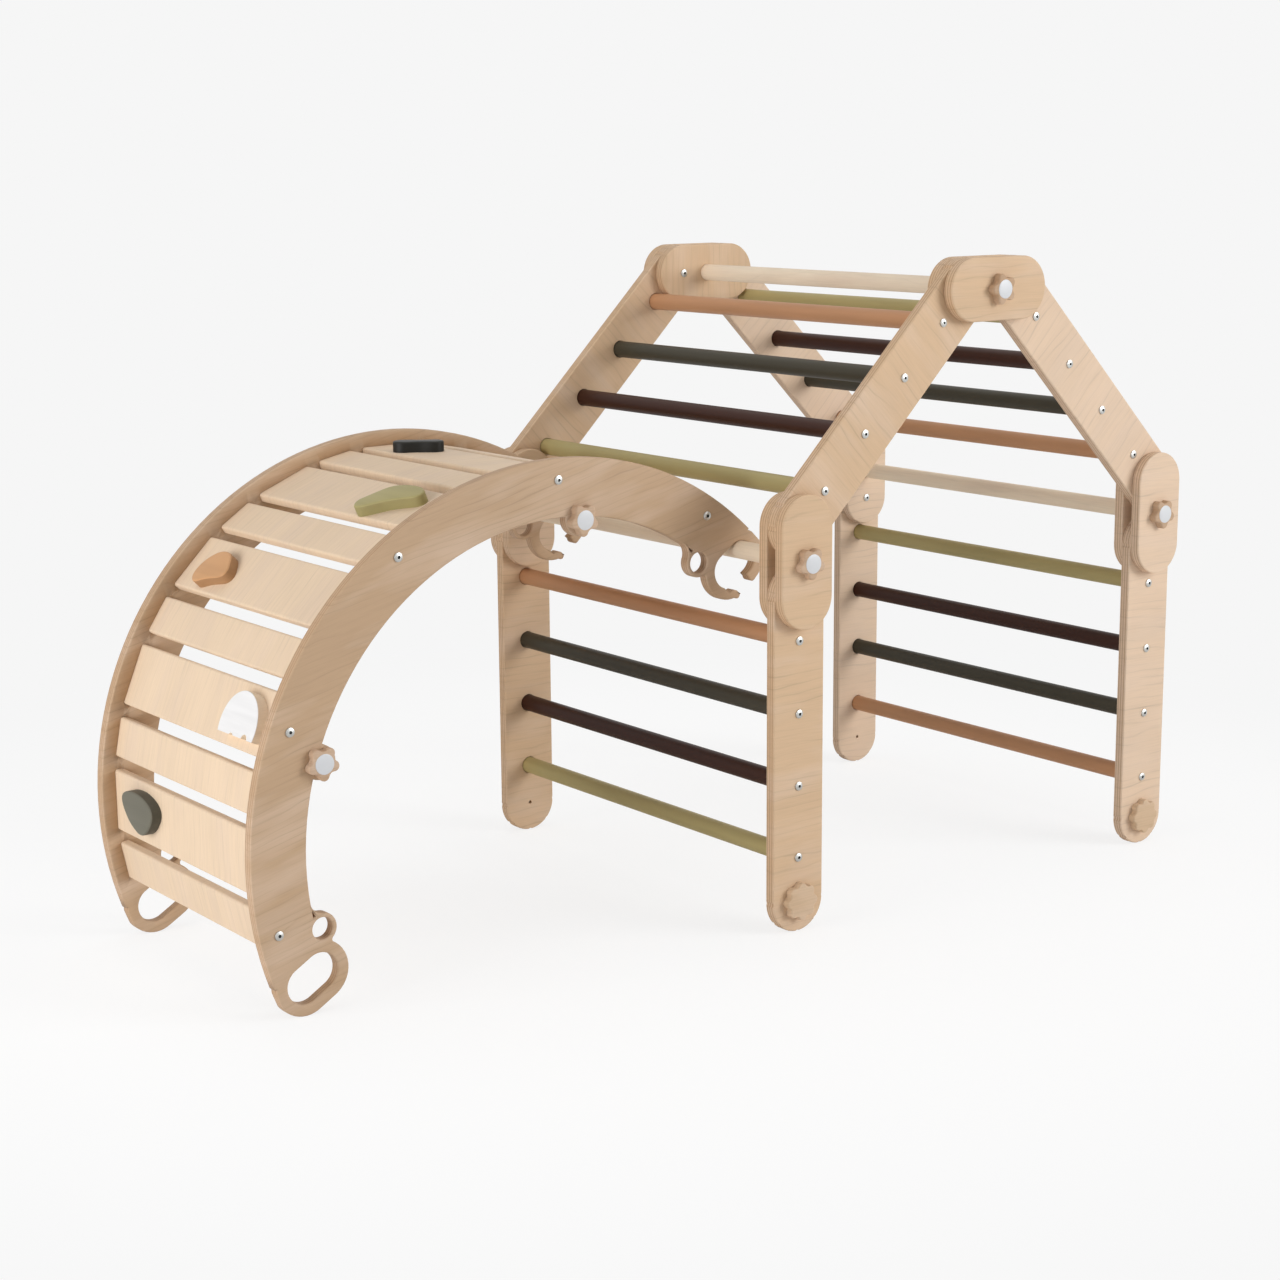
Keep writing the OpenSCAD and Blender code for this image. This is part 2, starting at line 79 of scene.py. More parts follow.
class WoodLooks(bpy.types.PropertyGroup):
    """Sizes and colours of the plywood and the plain wood."""
    birch_left: colour("Left birch", "Face veneer of the left boards", "#dbbb98")
    birch_right: colour("Right birch", "Face veneer of the right boards", "#e4c9ae")
    # Partly the arch panels' own warmer tone and partly painted shade: this veneer is made darker
    # to stand in for the shade that falls on the arch
    birch_arch_tone_and_shade: colour("Warm birch", "Face veneer of the arch panels", "#c6a787")
    birch_pale: colour("Pale patches", "Paler, pinker patches in the face veneer", "#e3cbb5")
    line_share: FloatProperty(name="Growth line depth", subtype="FACTOR", min=0, max=1,
                              default=0.5, description="Colour of a growth line as a share of "
                              "the wood's own")
    core: colour("Plywood core", "Crossed plies seen on the edges", "#a47c5b")
    slat: colour("Slats", "Pale solid wood of the slats", "#ead1b4")
    beech: colour("Plain rungs", "Unpainted rungs", "#f7e5cc")
    knob: colour("Foot knobs", "Solid wood of the foot knobs", "#d5b898")
    star: colour("Star knobs", "Solid wood of the star knobs", "#c09f80")
    ply: length("Sheet thickness", "Thickness of the plywood sheet", 18)
    plies: IntProperty(name="Plies drawn", description="Plies shown on the edges", default=7,
                       min=3, max=13)
    ring: length("Growth line spacing", "Distance between growth lines across the grain", 15)
    arch_ring: length("Growth line spacing of the arch",
                      "Distance between growth lines in the veneer of the arch panels", 9.5)
    ring_run: length("Growth line length", "Length of a growth line along the grain", 230)
    fibre: length("Fibre width", "Width of the fine streaks of the veneer", 2.2)
    fibre_run: length("Fibre length", "Length of the fine streaks of the veneer", 60)


class PaintLooks(bpy.types.PropertyGroup):
    """Colours of the paints."""
    peach: colour("Peach", "Peach paint", "#c2906a")
    slate: colour("Slate", "Dark grey green paint", "#443f33")
    brown: colour("Brown", "Dark brown paint", "#3b1e13")
    olive: colour("Olive", "Pale olive paint", "#b5a673")
    grip_grey: colour("Grip grey", "Paint of the grey grip", "#706d60")
    grip_peach: colour("Grip peach", "Paint of the peach grip", "#cf9e71")
    grip_olive: colour("Grip olive", "Paint of the olive grip", "#aba06d")
    white: colour("White", "White paint of the dome grip", "#ecebeb")
    black: colour("Black", "Black paint of the bar grip", "#2e2d29")
    # Painted shade: the grips' sides take a darker copy of their paint, by this share and each
    # grip's own, standing in for the shade on them
    side_shade_share: FloatProperty(name="Edge depth", subtype="FACTOR", min=0, max=1, default=0.85,
                              description="Brightness left in the paint on the grips' cut edges")


class FittingLooks(bpy.types.PropertyGroup):
    """Sizes and colours of the knobs, caps and screws."""
    cap: colour("Caps", "White caps in the knobs", "#d6d8db")
    steel: colour("Screws", "Bright zinc on the screws", "#c8c9c6")
    # Painted shade: the socket colour is a dark steel that stands in for the shade inside the
    # screws' hexagon recesses
    socket: colour("Sockets", "Shaded steel inside the screw sockets", "#4a4c4c")
    panel_ease: length("Panel rounding", "Rounding of the arch panels' edges", 2.5)
    knob_ease: length("Knob rounding", "Rounding of the knobs' edges", 2.6)
    grip_ease: length("Grip rounding", "Rounding of the grips' upper edges", 3)
    grip_soften: length("Grip softening", "Reach over which the grips' outlines are softened", 7)
    knob_height: length("Knob height", "Height of the knobs' wood", 12.8)
    cap_radius: length("Cap radius", "Radius of the round caps", 14.5)
    cap_rise: length("Cap height", "Height of the caps above the knobs", 1.6)
    hex_radius: length("Socket size", "Radius of the hexagon socket in a screw", 2.6)


class StageLooks(bpy.types.PropertyGroup):
    """Floor, lights and camera."""
    floor: colour("Floor", "Pale floor", "#f6f6f6")
    reach: FloatProperty(name="Shadow reach", unit="LENGTH", default=1.9, min=0.5,
                         description="Distance at which the floor has faded into the backdrop")
    ambient: FloatProperty(name="Ambient", description="Strength of the even light", default=0.30,
                           min=0)
    lens: FloatProperty(name="Lens", description="Focal length of the camera",
                        unit="CAMERA", default=67.9, min=1)


# ---------------------------------------------------------------- nodes and materials

MIX_A, MIX_B, MIX_OUT = 6, 7, 2     # sockets of a Mix node that mixes colours
RELIEF = 0.3 * MM                   # height of the relief that a bump of full strength gives
SHEET_GAP = 0.3 * MM                # clearance between two sheets of the frame

# Patterns of the wood: their sizes along the grain, through the sheet and across the grain
THROUGH = 400 * MM
CLOUDS = (300 * MM, THROUGH, 90 * MM)
PALE_PATCHES = (200 * MM, THROUGH, 45 * MM)
# Darkness on the way across one growth line: it gathers slowly, peaks and drops off fast
LINE_PROFILE = ((0.36, 0.1), (0.5, 1.0), (0.58, 0.2))
# How far apart two boards lie in the pattern, in metres, so that no two are alike
BOARD_SHIFT = (3.1, 0, 1.7)


def fill(tree, node, inputs):
    """Fills or links a node's inputs. A colour is given as linear red, green and blue."""
    for key, value in dict(inputs).items():
        socket = node.inputs[key]
        if isinstance(value, bpy.types.NodeSocket):
            tree.links.new(value, socket)
        elif socket.type == "RGBA":
            socket.default_value = (*value, 1.0)
        else:
            socket.default_value = value


def add(tree, kind, inputs=(), **settings):
    """Adds a node with its settings, and fills or links its inputs."""
    made = tree.nodes.new("ShaderNode" + kind)
    for key, value in settings.items():
        setattr(made, key, value)
    fill(tree, made, inputs)
    return made


def material(name):
    """A new material with only its output and a Principled shader."""
    made = bpy.data.materials.new(name)
    made.use_nodes = True
    tree = made.node_tree
    tree.nodes.clear()
    shader = add(tree, "BsdfPrincipled")
    add(tree, "OutputMaterial", {"Surface": shader.outputs["BSDF"]})
    return made, tree, shader


def dress(made, *names):
    """Gives CAD nodes one material."""
    for name in names:
        data = frame["nodes"][name].data
        data.materials.clear()
        data.materials.append(made)


def mottle(tree, point, size, detail=2.0):
    """Soft blobs from 0 to 1 that measure size, in metres along X, Y and Z."""
    placed = add(tree, "Mapping", {"Vector": point, "Scale": tuple(1 / s for s in size)})
    blobs = add(tree, "TexNoise", {"Vector": placed.outputs[0], "Scale": 1.0, "Detail": detail})
    return blobs.outputs["Fac"]


def sheet_point(tree, tilt=0.0, crossed_below=None):
    """A point with x along the grain, y through the sheet and z across the grain, in metres.
    tilt turns the grain up from X. Sheets closer to the middle than crossed_below have it
    turned a further quarter."""
    place = add(tree, "TexCoord").outputs["Object"]
    main = add(tree, "Mapping", {"Vector": place, "Rotation": (0, tilt, 0)}).outputs[0]
    if crossed_below is None:
        return main
    turned_more = add(tree, "Mapping", {"Vector": place, "Rotation": (0, tilt + math.pi / 2, 0)})
    away = add(tree, "SeparateXYZ", {0: place}).outputs["Y"]
    away = add(tree, "Math", {0: away}, operation="ABSOLUTE").outputs[0]
    outer = add(tree, "Math", {0: away, 1: crossed_below}, operation="GREATER_THAN").outputs[0]
    # Inputs 4 and 5 and output 1 are a Mix node's sockets for vectors
    return add(tree, "Mix", {0: outer, 4: turned_more.outputs[0], 5: main},
               data_type="VECTOR").outputs[1]


def along_y(tree):
    """A point with x along Y, which is the run of the rungs."""
    place = add(tree, "TexCoord").outputs["Object"]
    return add(tree, "Mapping", {"Vector": place,
                                 "Rotation": (0, 0, math.radians(90))}).outputs[0]


def bent_point(tree, centre, radius):
    """A point on the slats with x round the arch, which is along their grain, and z along Y."""
    place = add(tree, "TexCoord").outputs["Object"]
    moved = add(tree, "Mapping", {"Vector": place, "Location": (-centre[0], 0, -centre[1])})
    parts = add(tree, "SeparateXYZ", {0: moved.outputs[0]}).outputs
    angle = add(tree, "Math", {0: parts["X"], 1: parts["Z"]}, operation="ARCTAN2").outputs[0]
    run = add(tree, "Math", {0: angle, 1: radius}, operation="MULTIPLY").outputs[0]
    return add(tree, "CombineXYZ", {"X": run, "Z": parts["Y"]}).outputs[0]


def grain(tree, point, looks, seed, light, lines=1.0, fibres=1.0, ring=None):
    """Growth lines that wander along the grain, come and go and differ in strength, over soft
    clouds, pale patches and fine fibres. Returns the colour and the fibres. lines and fibres
    give their strength as shares of full, and ring the distance between two lines."""
    ring = ring or looks.ring
    moved = add(tree, "Mapping", {"Vector": point,
                                  "Location": tuple(seed * s for s in BOARD_SHIFT)}).outputs[0]
    wander = mottle(tree, moved, (looks.ring_run * 2, THROUGH, ring * 7))
    wobble = mottle(tree, moved, (looks.ring_run / 3, THROUGH, ring * 2), 1.0)
    across = add(tree, "SeparateXYZ", {0: moved}).outputs["Z"]
    count = add(tree, "Math", {0: across, 1: 1 / ring}, operation="MULTIPLY").outputs[0]
    for drift, rings_off in ((wander, 4.5), (wobble, 0.8)):
        count = add(tree, "Math", {0: drift, 1: rings_off, 2: count},
                    operation="MULTIPLY_ADD").outputs[0]
    part = add(tree, "Math", {0: count}, operation="FRACT").outputs[0]
    ramp = add(tree, "ValToRGB", {"Fac": part})
    ramp.color_ramp.interpolation = "EASE"
    for end in ramp.color_ramp.elements:
        end.color = (0, 0, 0, 1)
    for position, value in LINE_PROFILE:
        ramp.color_ramp.elements.new(position).color = (value, value, value, 1)
    patches = mottle(tree, moved, (looks.ring_run * 0.6, THROUGH, ring * 2.2))
    presence = add(tree, "MapRange", {"Value": patches, "From Min": 0.42, "From Max": 0.68,
                                      "To Min": 0.04, "To Max": 0.34 * lines}).outputs[0]
    line = add(tree, "Math", {0: ramp.outputs[0], 1: presence}, operation="MULTIPLY").outputs[0]
    cloud = add(tree, "MapRange", {"Value": mottle(tree, moved, CLOUDS), "From Min": 0.3,
                                   "From Max": 0.7, "To Max": 0.14}).outputs[0]
    fibre = mottle(tree, moved, (looks.fibre_run, looks.fibre * 2, looks.fibre), 3.0)
    streak = add(tree, "MapRange", {"Value": fibre, "From Min": 0.42, "From Max": 0.78,
                                    "To Max": 0.13 * fibres}).outputs[0]
    total = add(tree, "Math", {0: line, 1: cloud}, operation="ADD").outputs[0]
    total = add(tree, "Math", {0: total, 1: streak}, operation="ADD", use_clamp=True).outputs[0]
    pale = add(tree, "MapRange", {"Value": mottle(tree, moved, PALE_PATCHES, 3.0),
                                  "From Min": 0.45, "From Max": 0.7, "To Max": 0.5}).outputs[0]
    base = add(tree, "Mix", {0: pale, MIX_A: light, MIX_B: looks.birch_pale}, data_type="RGBA")
    dark = tuple(c * looks.line_share for c in light)
    tint = add(tree, "Mix", {0: total, MIX_A: base.outputs[MIX_OUT], MIX_B: dark},
               data_type="RGBA").outputs[MIX_OUT]
    return tint, fibre


def surface(tree, shader, tint, height, ridges, constants):
    """Gives a shader its colour, a faint relief and what is the same all over."""
    bump = add(tree, "Bump", {"Strength": ridges, "Distance": RELIEF, "Height": height})
    fill(tree, shader, {"Base Color": tint, "Normal": bump.outputs[0], **constants})


def birch_ply(name, looks, seed, light, tilt=0.0, start=0.0, mirrored=False,
              crossed_below=None, lines=1.0, ring=None):
    """Birch plywood, sanded and sealed with a clear matt varnish: pale rotary cut face
    veneer, and crossed plies that show as fine stripes wherever an edge cuts the sheet.
    start is where the first sheet begins, and mirrored gives both sides of the frame the
    same plies, counted outwards."""
    made, tree, shader = material(name)
    point = sheet_point(tree, tilt, crossed_below)
    veneer, fibre = grain(tree, point, looks, seed, light, lines, ring=ring)
    through = add(tree, "SeparateXYZ", {0: point}).outputs["Y"]
    if mirrored:
        through = add(tree, "Math", {0: through}, operation="ABSOLUTE").outputs[0]
    depth = add(tree, "Math", {0: through, 1: start}, operation="SUBTRACT").outputs[0]
    depth = add(tree, "Math", {0: depth, 1: looks.ply + SHEET_GAP},
                operation="FLOORED_MODULO").outputs[0]
    # A real sheet has 13 plies of 1.4 mm, which are drawn coarser so that they show
    count = add(tree, "Math", {0: depth, 1: looks.plies / looks.ply},
                operation="MULTIPLY").outputs[0]
    # Every second ply runs across and shows its darker end grain
    wave = add(tree, "Math", {0: count, 1: math.pi}, operation="MULTIPLY").outputs[0]
    odd = add(tree, "Math", {0: wave}, operation="SINE").outputs[0]
    stripe = add(tree, "MapRange", {"Value": odd, "From Min": -0.6, "From Max": -0.95,
                                    "To Min": 0.1, "To Max": 0.85}).outputs[0]
    # The first and last ply are the face veneers
    above = add(tree, "MapRange", {"Value": count, "From Min": 0.8, "From Max": 1.0}).outputs[0]
    below = add(tree, "MapRange", {"Value": count, "From Min": looks.plies - 0.8,
                                   "From Max": looks.plies - 1.0}).outputs[0]
    inside = add(tree, "Math", {0: above, 1: below}, operation="MULTIPLY").outputs[0]
    share = add(tree, "Math", {0: inside, 1: stripe}, operation="MULTIPLY").outputs[0]
    tint = add(tree, "Mix", {0: share, MIX_A: veneer, MIX_B: looks.core}, data_type="RGBA")
    surface(tree, shader, tint.outputs[MIX_OUT], fibre, 0.1,
            {"Roughness": 0.55, "Specular IOR Level": 0.25})
    return made


def solid_wood(name, looks, seed, light, point_of, lines=1.0, fibres=1.0):
    """Solid hardwood, planed or turned, sanded smooth and left plain or oiled: straight fine
    grain and a dull sheen. point_of makes the point with x along the grain."""
    made, tree, shader = material(name)
    tint, fibre = grain(tree, point_of(tree), looks, seed, light, lines, fibres)
    surface(tree, shader, tint, fibre, 0.1, {"Roughness": 0.58, "Specular IOR Level": 0.25})
    return made


def painted_wood(name, rgb):
    """Water based satin paint, brushed on wood: an even colour, a little darker where the
    grain drinks it, with the faint ridges of the grain under it."""
    made, tree, shader = material(name)
    place = add(tree, "TexCoord").outputs["Object"]
    ridges = mottle(tree, place, (3 * MM, 70 * MM, 3 * MM), 3.0)
    patch = mottle(tree, place, (16 * MM, 200 * MM, 16 * MM))
    share = add(tree, "MapRange", {"Value": patch, "From Min": 0.35, "From Max": 0.7,
                                   "To Max": 0.5}).outputs[0]
    tint = add(tree, "Mix", {0: share, MIX_A: rgb, MIX_B: tuple(c * 0.8 for c in rgb)},
               data_type="RGBA").outputs[MIX_OUT]
    surface(tree, shader, tint, ridges, 0.15, {"Roughness": 0.45, "Specular IOR Level": 0.2})
    return made


def cap_plastic(rgb):
    """Moulded white ABS, spark eroded: an even, faintly cool white with a soft sheen."""
    made, tree, shader = material("White_ABS_moulded")
    place = add(tree, "TexCoord").outputs["Object"]
    # Real sparks are under 0.1 mm, and are drawn coarser so that they show
    sparks = mottle(tree, place, (0.8 * MM, 0.8 * MM, 0.8 * MM))
    share = add(tree, "MapRange", {"Value": sparks, "From Min": 0.4, "From Max": 0.7,
                                   "To Max": 0.2}).outputs[0]
    tint = add(tree, "Mix", {0: share, MIX_A: rgb, MIX_B: tuple(c * 0.94 for c in rgb)},
               data_type="RGBA").outputs[MIX_OUT]
    surface(tree, shader, tint, sparks, 0.04, {"Roughness": 0.34, "IOR": 1.54})
    return made


def zinc_steel(name, rgb, rough=0.3):
    """Steel with bright zinc plating: metal, softly polished, with fine speckle."""
    made, tree, shader = material(name)
    place = add(tree, "TexCoord").outputs["Object"]
    speck = mottle(tree, place, (1.1 * MM, 1.1 * MM, 1.1 * MM))
    roughness = add(tree, "MapRange", {"Value": speck, "From Min": 0.3, "From Max": 0.7,
                                       "To Min": rough, "To Max": rough + 0.12}).outputs[0]
    fill(tree, shader, {"Base Color": rgb, "Metallic": 1.0, "Roughness": roughness})
    return made


# ---------------------------------------------------------------- building pieces

WELD = 0.004 * MM     # corners closer than this are one corner
TOUCH = 0.05 * MM     # and within this of a face they lie on it
SHANK_R = 2.9 * MM    # the shank of an M6 screw, just clear of its hole
TIP = 0.8 * MM        # chamfer at the end of a shank
SOCKET_DEPTH = 2 * MM


def body_of(node):
    """Name of the body that holds a CAD node."""
    return next(b for b, members in frame["record"]["behaviour"]["bodies"].items()
                if node in members)


def welded(node):
    """A CAD node's mesh with its split corners joined."""
    bm = bmesh.new()
    bm.from_mesh(frame["nodes"][node].data)
    bmesh.ops.remove_doubles(bm, verts=bm.verts, dist=WELD)
    return bm


def joined(node):
    """A CAD node's mesh with its split corners joined and its flat faces merged."""
    bm = welded(node)
    bmesh.ops.dissolve_limit(bm, angle_limit=math.radians(0.2), verts=bm.verts, edges=bm.edges)
    return bm


def finish_mesh(bm, name, made, smooth_below=35):
    """Turns a bmesh into an object with smooth shading up to an angle between faces."""
    data = bpy.data.meshes.new(name)
    bm.to_mesh(data)
    bm.free()
    data.polygons.foreach_set("use_smooth", [True] * len(data.polygons))
    data.set_sharp_from_angle(angle=math.radians(smooth_below))
    for one in made:
        data.materials.append(one)
    piece = bpy.data.objects.new(name, data)
    bpy.context.scene.collection.objects.link(piece)
    return piece


def stand_in(piece, node, replaces=True):
    """Makes a piece ride with the body of a CAD node, and stand for the node."""
    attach(piece, body_of(node))
    if replaces:
        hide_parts(node)
    return piece


def mitre(normals, least):
    """The way out of a corner between faces, long enough to clear each of them by one. least
    keeps it short where the corner is sharp."""
    middle = sum(normals[1:], normals[0]).normalized()
    return middle / max(middle.dot(normals[0]), least)


def eased_slab(node, name, made, ease, steps=3):
    """A sheet cut to the CAD outline, with the edges of its rims and holes rounded over."""
    bm = welded(node)
    ys = [v.co.y for v in bm.verts]
    low, high = min(ys) + TOUCH, max(ys) - TOUCH

    def is_wall(face):
        heights = [v.co.y for v in face.verts]
        return abs(face.normal.y) < 0.1 and min(heights) < low and max(heights) > high

    walls = [f for f in bm.faces if is_wall(f)]
    known = set(walls)
    rims = [e for e in bm.edges if len(e.link_faces) == 2
            and sum(f in known for f in e.link_faces) == 1
            and any(abs(f.normal.y) > 0.9 for f in e.link_faces)]
    lean = {}
    for e in rims:
        normal = next(f for f in e.link_faces if f in known).normal
        for v in e.verts:
            lean.setdefault(v, []).append(Vector((normal.x, 0, normal.z)).normalized())
    # Each rim corner gets a quarter turn of new corners, from the face (i = 0) to the wall
    rings = {}
    for v, normals in lean.items():
        out = ease * mitre(normals, 0.6)
        inward = Vector((0, ease if v.co.y < low else -ease, 0))
        turns = [math.pi / 2 * i / steps for i in range(1, steps + 1)]
        rings[v] = [v] + [bm.verts.new(v.co - out * (1 - math.sin(t))
                                       + inward * (1 - math.cos(t))) for t in turns]
        v.co -= out
    for e in rims:
        a, b = rings[e.verts[0]], rings[e.verts[1]]
        for i in range(steps):
            bm.faces.new((a[i], b[i], b[i + 1], a[i + 1]))
    for f in walls:
        bm.faces.new([rings[v][-1] if v in rings else v for v in f.verts])
    bmesh.ops.delete(bm, geom=walls, context="FACES_ONLY")
    bmesh.ops.recalc_face_normals(bm, faces=bm.faces)
    return finish_mesh(bm, name, made)


def slab_from(outline, thickness, ease, steps=4, top_index=0, side_index=0):
    """A closed slab over a flat outline, with its upper edge rounded over by ease.
    The outline is a list of (point, outward normal) in the XY plane; the slab rises along Z.
    The indices are the materials of its top with the rounding and of the rest."""
    bm = bmesh.new()
    rings = [[bm.verts.new((p.x, p.y, 0)) for p, _ in outline]]
    for i in range(steps + 1):
        turn = math.pi / 2 * i / steps
        inset, height = ease * (1 - math.cos(turn)), thickness - ease * (1 - math.sin(turn))
        rings.append([bm.verts.new((*(p - n * inset), height)) for p, n in outline])
    count = len(outline)
    for level, (lower, upper) in enumerate(zip(rings, rings[1:])):
        for i in range(count):
            j = (i + 1) % count
            face = bm.faces.new((lower[i], lower[j], upper[j], upper[i]))
            face.material_index = side_index if level < 2 else top_index
    bm.faces.new(rings[-1]).material_index = top_index
    bm.faces.new(reversed(rings[0])).material_index = side_index
    return bm


def lobed(lobes, outer, lobe_r, valley_out, steps=8):
    """Outline of a star knob: round lobes joined by round valleys, whose centres lie
    valley_out beyond the lobes' reach."""
    lobe_c, valley_c, half = outer - lobe_r, outer + valley_out, math.pi / lobes
    to_valley = Vector((valley_c * math.cos(half) - lobe_c, valley_c * math.sin(half)))
    valley_r = to_valley.length - lobe_r
    bend = math.atan2(to_valley.y, to_valley.x)
    points = []
    for i in range(lobes):
        turn = 2 * half * i
        middle = lobe_c * Vector((math.cos(turn), math.sin(turn)))
        for k in range(-steps, steps + 1):
            a = turn + bend * k / steps
            n = Vector((math.cos(a), math.sin(a)))
            points.append((middle + lobe_r * n, n))
        valley = valley_c * Vector((math.cos(turn + half), math.sin(turn + half)))
        start = turn + bend + math.pi
        sweep = 2 * (half - bend)
        for k in range(1, 2 * steps):
            a = start + sweep * k / (2 * steps)
            n = Vector((math.cos(a), math.sin(a)))
            points.append((valley + valley_r * n, -n))
    return points


def place_on_axis(bm, at, side, turn=0.0):
    """Stands a slab on a point with its axis along -Y for the near side or +Y for the far."""
    spin = Matrix.Rotation(turn, 4, "Z")
    stand = Matrix.Rotation(math.radians(90 if side < 0 else -90), 4, "X")
    bmesh.ops.transform(bm, matrix=Matrix.Translation(at) @ stand @ spin, verts=bm.verts)


def turned(profile, count=32, socket=0.0):
    """A piece turned on a lathe around Z, from (radius, height) pairs. Its last ring is
    closed by a sunk hexagon if socket gives the hexagon's radius."""
    bm = bmesh.new()
    angles = [2 * math.pi * i / count for i in range(count)]
    rings = [[bm.verts.new((radius * math.cos(t), radius * math.sin(t), height)) for t in angles]
             for radius, height in profile]
    if socket:
        side = math.radians(60)
        across = socket * math.cos(side / 2)
        reaches = [across / math.cos(t % side - side / 2) for t in angles]
        top = profile[-1][1]
        for height in (top, top - SOCKET_DEPTH):
            rings.append([bm.verts.new((r * math.cos(t), r * math.sin(t), height))
                          for r, t in zip(reaches, angles)])
    # Painted shade: the hexagon's walls and floor take the second material, a dark steel standing
    # in for the shade in the recess
    socket_painted_shade = 1 if socket else 0
    for lower, upper in zip(rings, rings[1:]):
        for i in range(count):
            j = (i + 1) % count
            face = bm.faces.new((lower[i], lower[j], upper[j], upper[i]))
            if upper is rings[-1]:
                face.material_index = socket_painted_shade
    bm.faces.new(rings[-1]).material_index = socket_painted_shade
    bm.faces.new(reversed(rings[0]))
    return bm


def loose_parts(bm):
    """The separate solids in a mesh, each as a list of points."""
    left = set(bm.verts)
    parts = []
    while left:
        front, part = [left.pop()], []
        while front:
            v = front.pop()
            part.append(v.co.copy())
            for e in v.link_edges:
                other = e.other_vert(v)
                if other in left:
                    left.remove(other)
                    front.append(other)
        parts.append(part)
    return parts


def box_middle(points):
    """Middle of the points' box in X and Z."""
    xs, zs = [p.x for p in points], [p.z for p in points]
    return Vector(((min(xs) + max(xs)) / 2, 0, (min(zs) + max(zs)) / 2))


def around_axis(points, axis):
    """Distances of points from an axis along Y."""
    return [math.hypot(p.x - axis.x, p.z - axis.z) for p in points]


def append_mesh(bm, other):
    """Adds one bmesh to another and keeps the material indices."""
    data = bpy.data.meshes.new("part")
    other.to_mesh(data)
    other.free()
    bm.from_mesh(data)
    bpy.data.meshes.remove(data)


# ---------------------------------------------------------------- operators

class CLIMB_OT_plywood(bpy.types.Operator):
    """Dress the side rails and joint plates in birch plywood."""
    bl_idname = "climb.plywood"
    bl_label = "Plywood frame"

    def execute(self, context):
        looks = context.scene.climb_wood
        inner = self.nearest("top_plates")
        outer = self.nearest("left_upright_rails") + looks.ply
        level, left_roof, right_roof = 0, -45, 45
        for seed, (node, degrees, light) in enumerate((
                ("left_upright_rails", level, looks.birch_left),
                ("left_roof_rails", left_roof, looks.birch_left),
                ("right_roof_rails", right_roof, looks.birch_right),
                ("right_upright_rails", level, looks.birch_right),
                ("left_shoulder_plates", level, looks.birch_left),
                ("right_shoulder_plates", level, looks.birch_right),
                ("top_plates", level, looks.birch_left))):
            # The inner top plates are cut the other way out of the sheet
            crossed = outer if node == "top_plates" else None
            dress(birch_ply("Birch_plywood_" + node, looks, seed + 1, light,
                            math.radians(degrees), inner, mirrored=True,
                            crossed_below=crossed), node)
        return {"FINISHED"}

    def nearest(self, node):
        """Least distance of a node's faces from the middle of the frame."""
        return min(abs(v.co.y) for v in frame["nodes"][node].data.vertices)


class CLIMB_OT_arch(bpy.types.Operator):
    """Build the eased side panels of the arch and dress its slats."""
    bl_idname = "climb.arch"
    bl_label = "Arch"

    def execute(self, context):
        looks = context.scene.climb_wood
        ease = context.scene.climb_fittings.panel_ease
        rising = math.radians(14)      # the panels' grain rises towards the hooks
        for seed, node in ((11, "arch_panel_near"), (12, "arch_panel_far")):
            low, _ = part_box(node)
            # The arch veneer's darker colour is partly painted shade
            made = birch_ply("Birch_plywood_" + node, looks, seed, looks.birch_arch_tone_and_shade, rising,
                             low.y, lines=0.9, ring=looks.arch_ring)
            stand_in(eased_slab(node, node + "_eased", [made], ease), node)
        centre = arch_centre()
        radius = centre[0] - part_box("arch_panel_near")[0].x
        # Poplar boards, planed and sanded: a pale cream with faint lines and plain fibres
        for seed, node in ((21, "arch_slats_wide"), (22, "arch_slats_narrow")):
            dress(solid_wood("Poplar_planed_" + node, looks, seed, looks.slat,
                             lambda tree: bent_point(tree, centre, radius), 0.5, 1.3), node)
        return {"FINISHED"}


def arch_centre():
    """Middle of the arch's circle in X and Z, from three points of a panel's rim."""
    points = [v.co for v in frame["nodes"]["arch_panel_near"].data.vertices]
    a, b, c = (Vector((p.x, p.z)) for p in (min(points, key=lambda p: p.x),
                                             max(points, key=lambda p: p.z - p.x),
                                             max(points, key=lambda p: p.z)))
    d = 2 * (a.x * (b.y - c.y) + b.x * (c.y - a.y) + c.x * (a.y - b.y))
    aa, bb, cc = a.length_squared, b.length_squared, c.length_squared
    return ((aa * (b.y - c.y) + bb * (c.y - a.y) + cc * (a.y - b.y)) / d,
            (aa * (c.x - b.x) + bb * (a.x - c.x) + cc * (b.x - a.x)) / d)


class CLIMB_OT_rungs(bpy.types.Operator):
    """Paint the rungs and leave the joint rungs plain."""
    bl_idname = "climb.rungs"
    bl_label = "Rungs"

    def execute(self, context):
        paint = context.scene.climb_paint
        wood = context.scene.climb_wood
        # Beech dowels, turned and sanded: near white wood with hardly a line along them
        beech = solid_wood("Beech_dowel_sanded", wood, 41, wood.beech, along_y, 0.35)
        paints = {c: painted_wood("Satin_paint_" + c, getattr(paint, c))
                  for c in ("peach", "slate", "brown", "olive")}
        down = ("olive", "brown", "slate", "peach")
        for ladder, colours in (("left_upright", down), ("left_roof", down),
                                ("right_roof", down[::-1]), ("right_upright", down[::-1])):
            for i, c in enumerate(colours):
                dress(paints[c], f"{ladder}_rung_{i + 1}")
        dress(beech, "left_shoulder_rung", "right_shoulder_rung", "top_rung",
              "arch_crossbar_upper", "arch_crossbar_lower")
        return {"FINISHED"}


